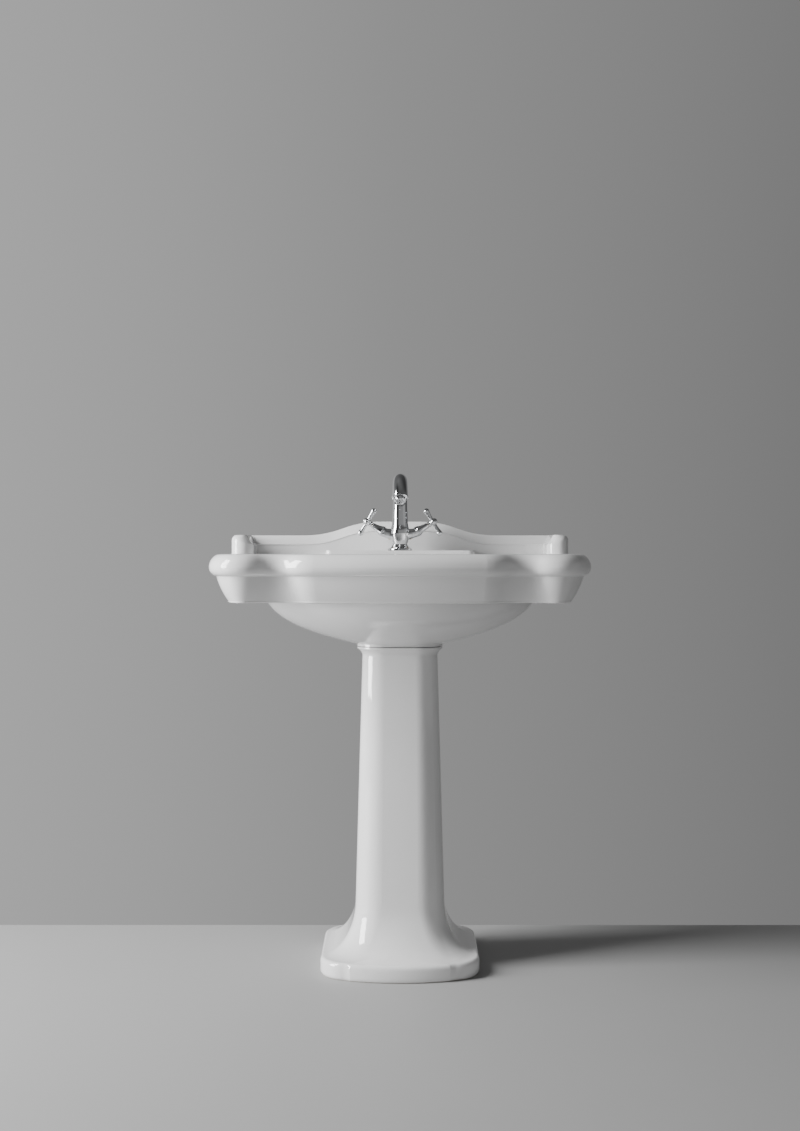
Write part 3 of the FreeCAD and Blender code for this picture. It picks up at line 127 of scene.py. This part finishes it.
def glazedChina():
    material, tree, shader = newMaterial("glazedChina")
    place = objectPlace(tree)
    clouds = noise(tree, place, **china["clouds"])
    ripple = noise(tree, place, **china["ripple"])
    grain = noise(tree, place, **china["grain"])
    split = tree.nodes.new("ShaderNodeSeparateXYZ")
    tree.links.new(place, split.inputs["Vector"])
    onFloor = maths(tree, "LESS_THAN", split.outputs["Z"], china["bareBelow"])
    onWall = maths(tree, "GREATER_THAN", split.outputs["Y"], china["bareBehind"])
    bare = maths(tree, "MAXIMUM", onFloor, onWall)
    glaze = tint(tree, clouds, china["pooled"], china["white"])
    biscuit = tint(tree, grain, china["biscuitShade"], china["biscuit"])
    tree.links.new(blendColours(tree, bare, glaze, biscuit), shader.inputs["Base Color"])
    glazeGloss = spread(tree, noise(tree, place, **china["haze"]), noiseSpan, china["gloss"])
    bareGloss = maths(tree, "MULTIPLY", bare, china["bareRoughness"])
    tree.links.new(maths(tree, "MAXIMUM", glazeGloss, bareGloss), shader.inputs["Roughness"])
    shader.inputs["IOR"].default_value = china["glazeIor"]
    for name, number in china["coat"].items():
        shader.inputs[name].default_value = number
    relief(tree, shader, ripple, china["waviness"])
    return material


# polished chrome: bright plate with faint finger haze and wiping marks
chrome = {
    "bright": (0.76, 0.77, 0.78),
    "dull": (0.66, 0.67, 0.685),
    "gloss": (0.045, 0.13),
    "haze": {"scale": 55, "detail": 4, "roughness": 0.6},
    "hazeSpan": (0.3, 0.75),
    "wiping": {"scale": 420, "detail": 3},
    "wipingStretch": (1, 1, 0.15),
    "relief": 0.00002,
}


def polishedChrome():
    material, tree, shader = newMaterial("polishedChrome")
    haze = noise(tree, objectPlace(tree), **chrome["haze"])
    wiping = noise(tree, objectPlace(tree, chrome["wipingStretch"]), **chrome["wiping"])
    tree.links.new(tint(tree, haze, chrome["dull"], chrome["bright"]), shader.inputs["Base Color"])
    shader.inputs["Metallic"].default_value = 1
    tree.links.new(spread(tree, haze, chrome["hazeSpan"], chrome["gloss"]), shader.inputs["Roughness"])
    relief(tree, shader, wiping, chrome["relief"])
    return material


# machined brass with a thin tarnish
brass = {
    "bright": (0.66, 0.48, 0.22),
    "tarnished": (0.40, 0.28, 0.13),
    "gloss": (0.24, 0.45),
    "tarnish": {"scale": 90, "detail": 5, "roughness": 0.65},
    "turning": {"scale": 2600, "detail": 2},
    "turningStretch": (0.2, 0.2, 1),
    "relief": 0.00004,
}


def machinedBrass():
    material, tree, shader = newMaterial("machinedBrass")
    tarnish = noise(tree, objectPlace(tree), **brass["tarnish"])
    turning = noise(tree, objectPlace(tree, brass["turningStretch"]), **brass["turning"])
    tree.links.new(tint(tree, tarnish, brass["tarnished"], brass["bright"]), shader.inputs["Base Color"])
    shader.inputs["Metallic"].default_value = 1
    tree.links.new(spread(tree, tarnish, noiseSpan, brass["gloss"]), shader.inputs["Roughness"])
    relief(tree, shader, turning, brass["relief"])
    return material


# bright zinc plate on the hidden fixings
zinc = {
    "bright": (0.60, 0.61, 0.62),
    "dull": (0.42, 0.43, 0.45),
    "gloss": (0.28, 0.5),
    "spangleScale": 260,
    "haze": {"scale": 300, "detail": 4},
    "grain": {"scale": 1200, "detail": 3},
    "relief": 0.00003,
}


def zincSteel():
    material, tree, shader = newMaterial("zincSteel")
    place = objectPlace(tree)
    spangle = tree.nodes.new("ShaderNodeTexVoronoi")
    spangle.inputs["Scale"].default_value = zinc["spangleScale"]
    tree.links.new(place, spangle.inputs["Vector"])
    plate = tint(tree, spangle.outputs["Distance"], zinc["dull"], zinc["bright"])
    tree.links.new(plate, shader.inputs["Base Color"])
    shader.inputs["Metallic"].default_value = 1
    gloss = spread(tree, noise(tree, place, **zinc["haze"]), noiseSpan, zinc["gloss"])
    tree.links.new(gloss, shader.inputs["Roughness"])
    relief(tree, shader, noise(tree, place, **zinc["grain"]), zinc["relief"])
    return material


# black rubber of the seals
rubber = {
    "low": (0.018, 0.018, 0.019),
    "high": (0.045, 0.045, 0.047),
    "gloss": (0.5, 0.75),
    "clouds": {"scale": 120, "detail": 4},
    "grain": {"scale": 1500, "detail": 2},
    "relief": 0.00005,
}

# moulded plastic of the aerator's insert
plastic = {
    "low": (0.49, 0.50, 0.51),
    "high": (0.56, 0.57, 0.58),
    "gloss": (0.34, 0.48),
    "clouds": {"scale": 70, "detail": 3},
    "grain": {"scale": 1800, "detail": 2},
    "relief": 0.00003,
}

# grey bedding between the basin and the pedestal
bedding = {
    "low": (0.24, 0.24, 0.235),
    "high": (0.30, 0.30, 0.295),
    "gloss": (0.45, 0.65),
    "clouds": {"scale": 140, "detail": 4},
    "grain": {"scale": 1100, "detail": 2},
    "relief": 0.00004,
}


def cloudedFinish(name, look):
    material, tree, shader = newMaterial(name)
    place = objectPlace(tree)
    clouds = noise(tree, place, **look["clouds"])
    tree.links.new(tint(tree, clouds, look["low"], look["high"]), shader.inputs["Base Color"])
    tree.links.new(spread(tree, clouds, noiseSpan, look["gloss"]), shader.inputs["Roughness"])
    relief(tree, shader, noise(tree, place, **look["grain"]), look["relief"])
    return material


finishes = {
    "china": glazedChina(),
    "chrome": polishedChrome(),
    "rubber": cloudedFinish("blackRubber", rubber),
    "brass": machinedBrass(),
    "steel": zincSteel(),
    "plastic": cloudedFinish("mouldedPlastic", plastic),
}
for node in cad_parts.values():
    node.data.materials[0] = finishes[node.data.materials[0].name.split(".")[0]]
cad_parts["seat_gasket"].data.materials[0] = cloudedFinish("greyBedding", bedding)
print("finishes: %s" % ", ".join(finishes))


# thin china trims that stand on the basin's plain faces
trimSharpAngle = 38           # degrees, past which an edge stays crisp


def chinaPiece(name, mesh):
    bmesh.ops.recalc_face_normals(mesh, faces=mesh.faces)
    data = bpy.data.meshes.new(name)
    mesh.to_mesh(data)
    mesh.free()
    data.materials.append(finishes["china"])
    data.shade_smooth()
    data.set_sharp_from_angle(angle=math.radians(trimSharpAngle))
    piece = bpy.data.objects.new(name, data)
    bpy.context.scene.collection.objects.link(piece)
    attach(piece, "base")


# fine bead under the moulded band of the upstand and of its two returns
bead = {
    "radius": 0.0016,
    "sides": 12,
    "height": 0.8706,         # outside the ogee
    "face": 0.1973,           # the upstand's front
    "inner": 0.3217,          # the returns' inner sides
    "front": 0.124,           # where the returns' beads end
    "ogeeOuter": 0.215,
    "ogeeInner": 0.045,
    "rise": 0.031,
    "steps": 56,
}


def crestRise(x):
    outer, inner, rise = bead["ogeeOuter"], bead["ogeeInner"], bead["rise"]
    radius = ((outer - inner) ** 2 + rise ** 2) / (4 * rise)
    x = min(max(abs(x), inner), outer)
    if x > (outer + inner) / 2:
        return radius - math.sqrt(radius ** 2 - (outer - x) ** 2)
    return rise - radius + math.sqrt(radius ** 2 - (x - inner) ** 2)


def beadAlong(name, path):
    mesh = bmesh.new()
    ring = bmesh.ops.create_circle(mesh, radius=bead["radius"], segments=bead["sides"])["verts"]
    turn = Vector((0, 0, 1)).rotation_difference(path[-1] - path[0]).to_matrix()
    bmesh.ops.rotate(mesh, verts=ring, cent=(0, 0, 0), matrix=turn)
    bmesh.ops.translate(mesh, verts=ring, vec=path[0])
    edges = mesh.edges[:]
    for here, there in zip(path, path[1:]):
        grown = bmesh.ops.extrude_edge_only(mesh, edges=edges)["geom"]
        ring = [part for part in grown if isinstance(part, bmesh.types.BMVert)]
        edges = [part for part in grown if isinstance(part, bmesh.types.BMEdge)]
        edges = [edge for edge in edges if set(edge.verts) <= set(ring)]
        bmesh.ops.translate(mesh, verts=ring, vec=there - here)
    bmesh.ops.holes_fill(mesh, edges=[edge for edge in mesh.edges if edge.is_boundary], sides=0)
    chinaPiece(name, mesh)


def upstandBeads():
    inner, face, height, steps = bead["inner"], bead["face"], bead["height"], bead["steps"]
    across = [inner * (2 * step / steps - 1) for step in range(steps + 1)]
    beadAlong("upstandBead", [Vector((x, face, height + crestRise(x))) for x in across])
    for side, x in (("left", -inner), ("right", inner)):
        ends = [Vector((x, face, height)), Vector((x, bead["front"], height))]
        beadAlong(side + "ReturnBead", ends)


# rounded nose that ends each return, its section going over from outer to inner round the front
nose = {
    "middle": (0.346, 0.123),
    "top": 0.8911,
    "low": 0.0545,            # below the top
    "outer": ((0.02415, 0.0125), (0.0236, 0.0078), (0.0213, 0.0038), (0.0174, 0.0011), (0.0125, 0)),
    "inner": ((0.02415, 0.0206), (0.0213, 0.0200), (0.0171, 0.0133), (0.0131, 0.0067), (0.0091, 0)),
    "turns": 20,
    "tail": 0.016,            # runs back into the return
    "sink": 0.0007,           # keeps the tail's end under the return's top
    "draw": 0.972,            # and inside its sides
    "mergeWithin": 0.000005,
    "sameWithin": 0.00001,
}


def shapeNoseSection(vert):
    share = math.atan2(-vert.co.y, vert.co.x) / math.pi
    blend = 3 * share ** 2 - 2 * share ** 3
    for (out, drop), (innerOut, innerDrop) in zip(nose["outer"], nose["inner"]):
        near = nose["sameWithin"]
        if abs(vert.co.xy.length - out) < near and abs(vert.co.z + drop) < near:
            vert.co.xy = vert.co.xy.normalized() * (out + blend * (innerOut - out))
            vert.co.z = -drop - blend * (innerDrop - drop)
            return


def returnNose(name, side):
    mesh = bmesh.new()
    outline = ((0, nose["low"]), (nose["outer"][0][0], nose["low"]), *nose["outer"], (0, 0))
    verts = [mesh.verts.new((out, 0, -drop)) for out, drop in outline]
    edges = [mesh.edges.new(pair) for pair in zip(verts, verts[1:])]
    bmesh.ops.spin(
        mesh, geom=verts + edges, cent=(0, 0, 0), axis=(0, 0, 1),
        angle=-math.pi, steps=nose["turns"])
    bmesh.ops.remove_doubles(mesh, verts=mesh.verts, dist=nose["mergeWithin"])
    for vert in mesh.verts:
        shapeNoseSection(vert)
    rim = [edge for edge in mesh.edges if edge.is_boundary]
    grown = bmesh.ops.extrude_edge_only(mesh, edges=rim)["geom"]
    back = [part for part in grown if isinstance(part, bmesh.types.BMVert)]
    bmesh.ops.translate(mesh, verts=back, vec=(0, nose["tail"], -nose["sink"]))
    bmesh.ops.scale(mesh, verts=back, vec=(nose["draw"], 1, 1))
    bmesh.ops.holes_fill(mesh, edges=[edge for edge in mesh.edges if edge.is_boundary], sides=0)
    bmesh.ops.scale(mesh, verts=mesh.verts, vec=(side, 1, 1))
    across, depth = nose["middle"]
    bmesh.ops.translate(mesh, verts=mesh.verts, vec=(side * across, depth, nose["top"]))
    chinaPiece(name, mesh)


upstandBeads()
returnNose("leftReturnNose", -1)
returnNose("rightReturnNose", 1)
print("trims: three beads and two noses")


# floor, up to where the wall would stand
ground = {
    "wallLine": 0.245,
    "halfWidth": 6,
    "halfDepth": 4,
    "grey": (0.37, 0.37, 0.37),
    "shade": (0.3552, 0.3552, 0.3552),
    "clouds": {"scale": 3, "detail": 3},
    "roughness": 0.6,
    "specular": 0.3,
}


def studioFloor():
    mesh = bmesh.new()
    bmesh.ops.create_grid(mesh, x_segments=2, y_segments=2, size=1)
    bmesh.ops.scale(mesh, vec=(ground["halfWidth"], ground["halfDepth"], 1), verts=mesh.verts)
    middle = ground["wallLine"] - ground["halfDepth"]
    bmesh.ops.translate(mesh, vec=(0, middle, 0), verts=mesh.verts)
    data = bpy.data.meshes.new("studioFloor")
    mesh.to_mesh(data)
    mesh.free()
    floor = bpy.data.objects.new("studioFloor", data)
    bpy.context.scene.collection.objects.link(floor)
    material, tree, shader = newMaterial("paleFloor")
    clouds = noise(tree, objectPlace(tree), **ground["clouds"])
    tree.links.new(tint(tree, clouds, ground["shade"], ground["grey"]), shader.inputs["Base Color"])
    shader.inputs["Roughness"].default_value = ground["roughness"]
    shader.inputs["Specular IOR Level"].default_value = ground["specular"]
    data.materials.append(material)


# soft greys all round, also in the wall's place; a pair is a place from 0 to 1 and its grey
air = {
    "behind": ((0, 0.62), (0.36, 0.45), (0.5, 0.297), (0.64, 0.197), (1, 0.07)),  # left to right
    "ahead": (
        (0, 0.06), (0.29, 0.06), (0.34, 0.27), (0.5, 0.29),
        (0.86, 0.31), (0.94, 0.42), (1, 0.42)),
    "strength": ((0, 1), (0.69, 1), (0.74, 0.36), (0.9, 0.33), (1, 0.5)),  # from below to above
    "sides": (-0.3, 0.3),     # where ahead goes over into behind
}


def greys(tree, value, stops):
    ramp = tree.nodes.new("ShaderNodeValToRGB")
    for place, grey in stops[2:]:
        ramp.color_ramp.elements.new(place)
    for element, (place, grey) in zip(ramp.color_ramp.elements, stops):
        element.position = place
        element.color = (grey, grey, grey, 1)
    tree.links.new(spread(tree, value, (-1, 1), (0, 1)), ramp.inputs["Fac"])
    return ramp.outputs["Color"]


def studioAir():
    world = bpy.data.worlds.new("studioAir")
    bpy.context.scene.world = world
    world.use_nodes = True
    tree = world.node_tree
    way = tree.nodes.new("ShaderNodeTexCoord").outputs["Generated"]
    split = tree.nodes.new("ShaderNodeSeparateXYZ")
    tree.links.new(way, split.inputs["Vector"])
    across, depth, height = split.outputs
    back = spread(tree, depth, air["sides"], (0, 1))
    ahead, behind = greys(tree, across, air["ahead"]), greys(tree, across, air["behind"])
    background = tree.nodes["Background"]
    tree.links.new(blendColours(tree, back, ahead, behind), background.inputs["Color"])
    tree.links.new(greys(tree, height, air["strength"]), background.inputs["Strength"])


# tall soft light from the left
keyLight = {"at": (-2.8, -0.86, 1.72), "aim": (0, -0.05, 0.7), "size": (1.1, 2.9), "power": 300}


def softbox(name, at, aim, size, power):
    light = bpy.data.lights.new(name, "AREA")
    light.shape = "RECTANGLE"
    light.size, light.size_y = size
    light.energy = power
    lamp = bpy.data.objects.new(name, light)
    bpy.context.scene.collection.objects.link(lamp)
    lamp.location = at
    lamp.rotation_euler = (Vector(aim) - Vector(at)).to_track_quat("-Z", "Y").to_euler()


# level and square to the wall
viewpoint = {"at": (0, -2.958, 0.858), "lens": 44.56, "sensor": 36, "shift": -15.5 / 1131}


def camera():
    data = bpy.data.cameras.new("camera")
    data.sensor_width = viewpoint["sensor"]
    data.lens = viewpoint["lens"]
    data.shift_y = viewpoint["shift"]
    made = bpy.data.objects.new("camera", data)
    bpy.context.scene.collection.objects.link(made)
    made.location = viewpoint["at"]
    made.rotation_euler = (math.radians(90), 0, 0)
    bpy.context.scene.camera = made


studioFloor()
studioAir()
softbox("key", **keyLight)
camera()
print("studio: floor, air, key light and camera")
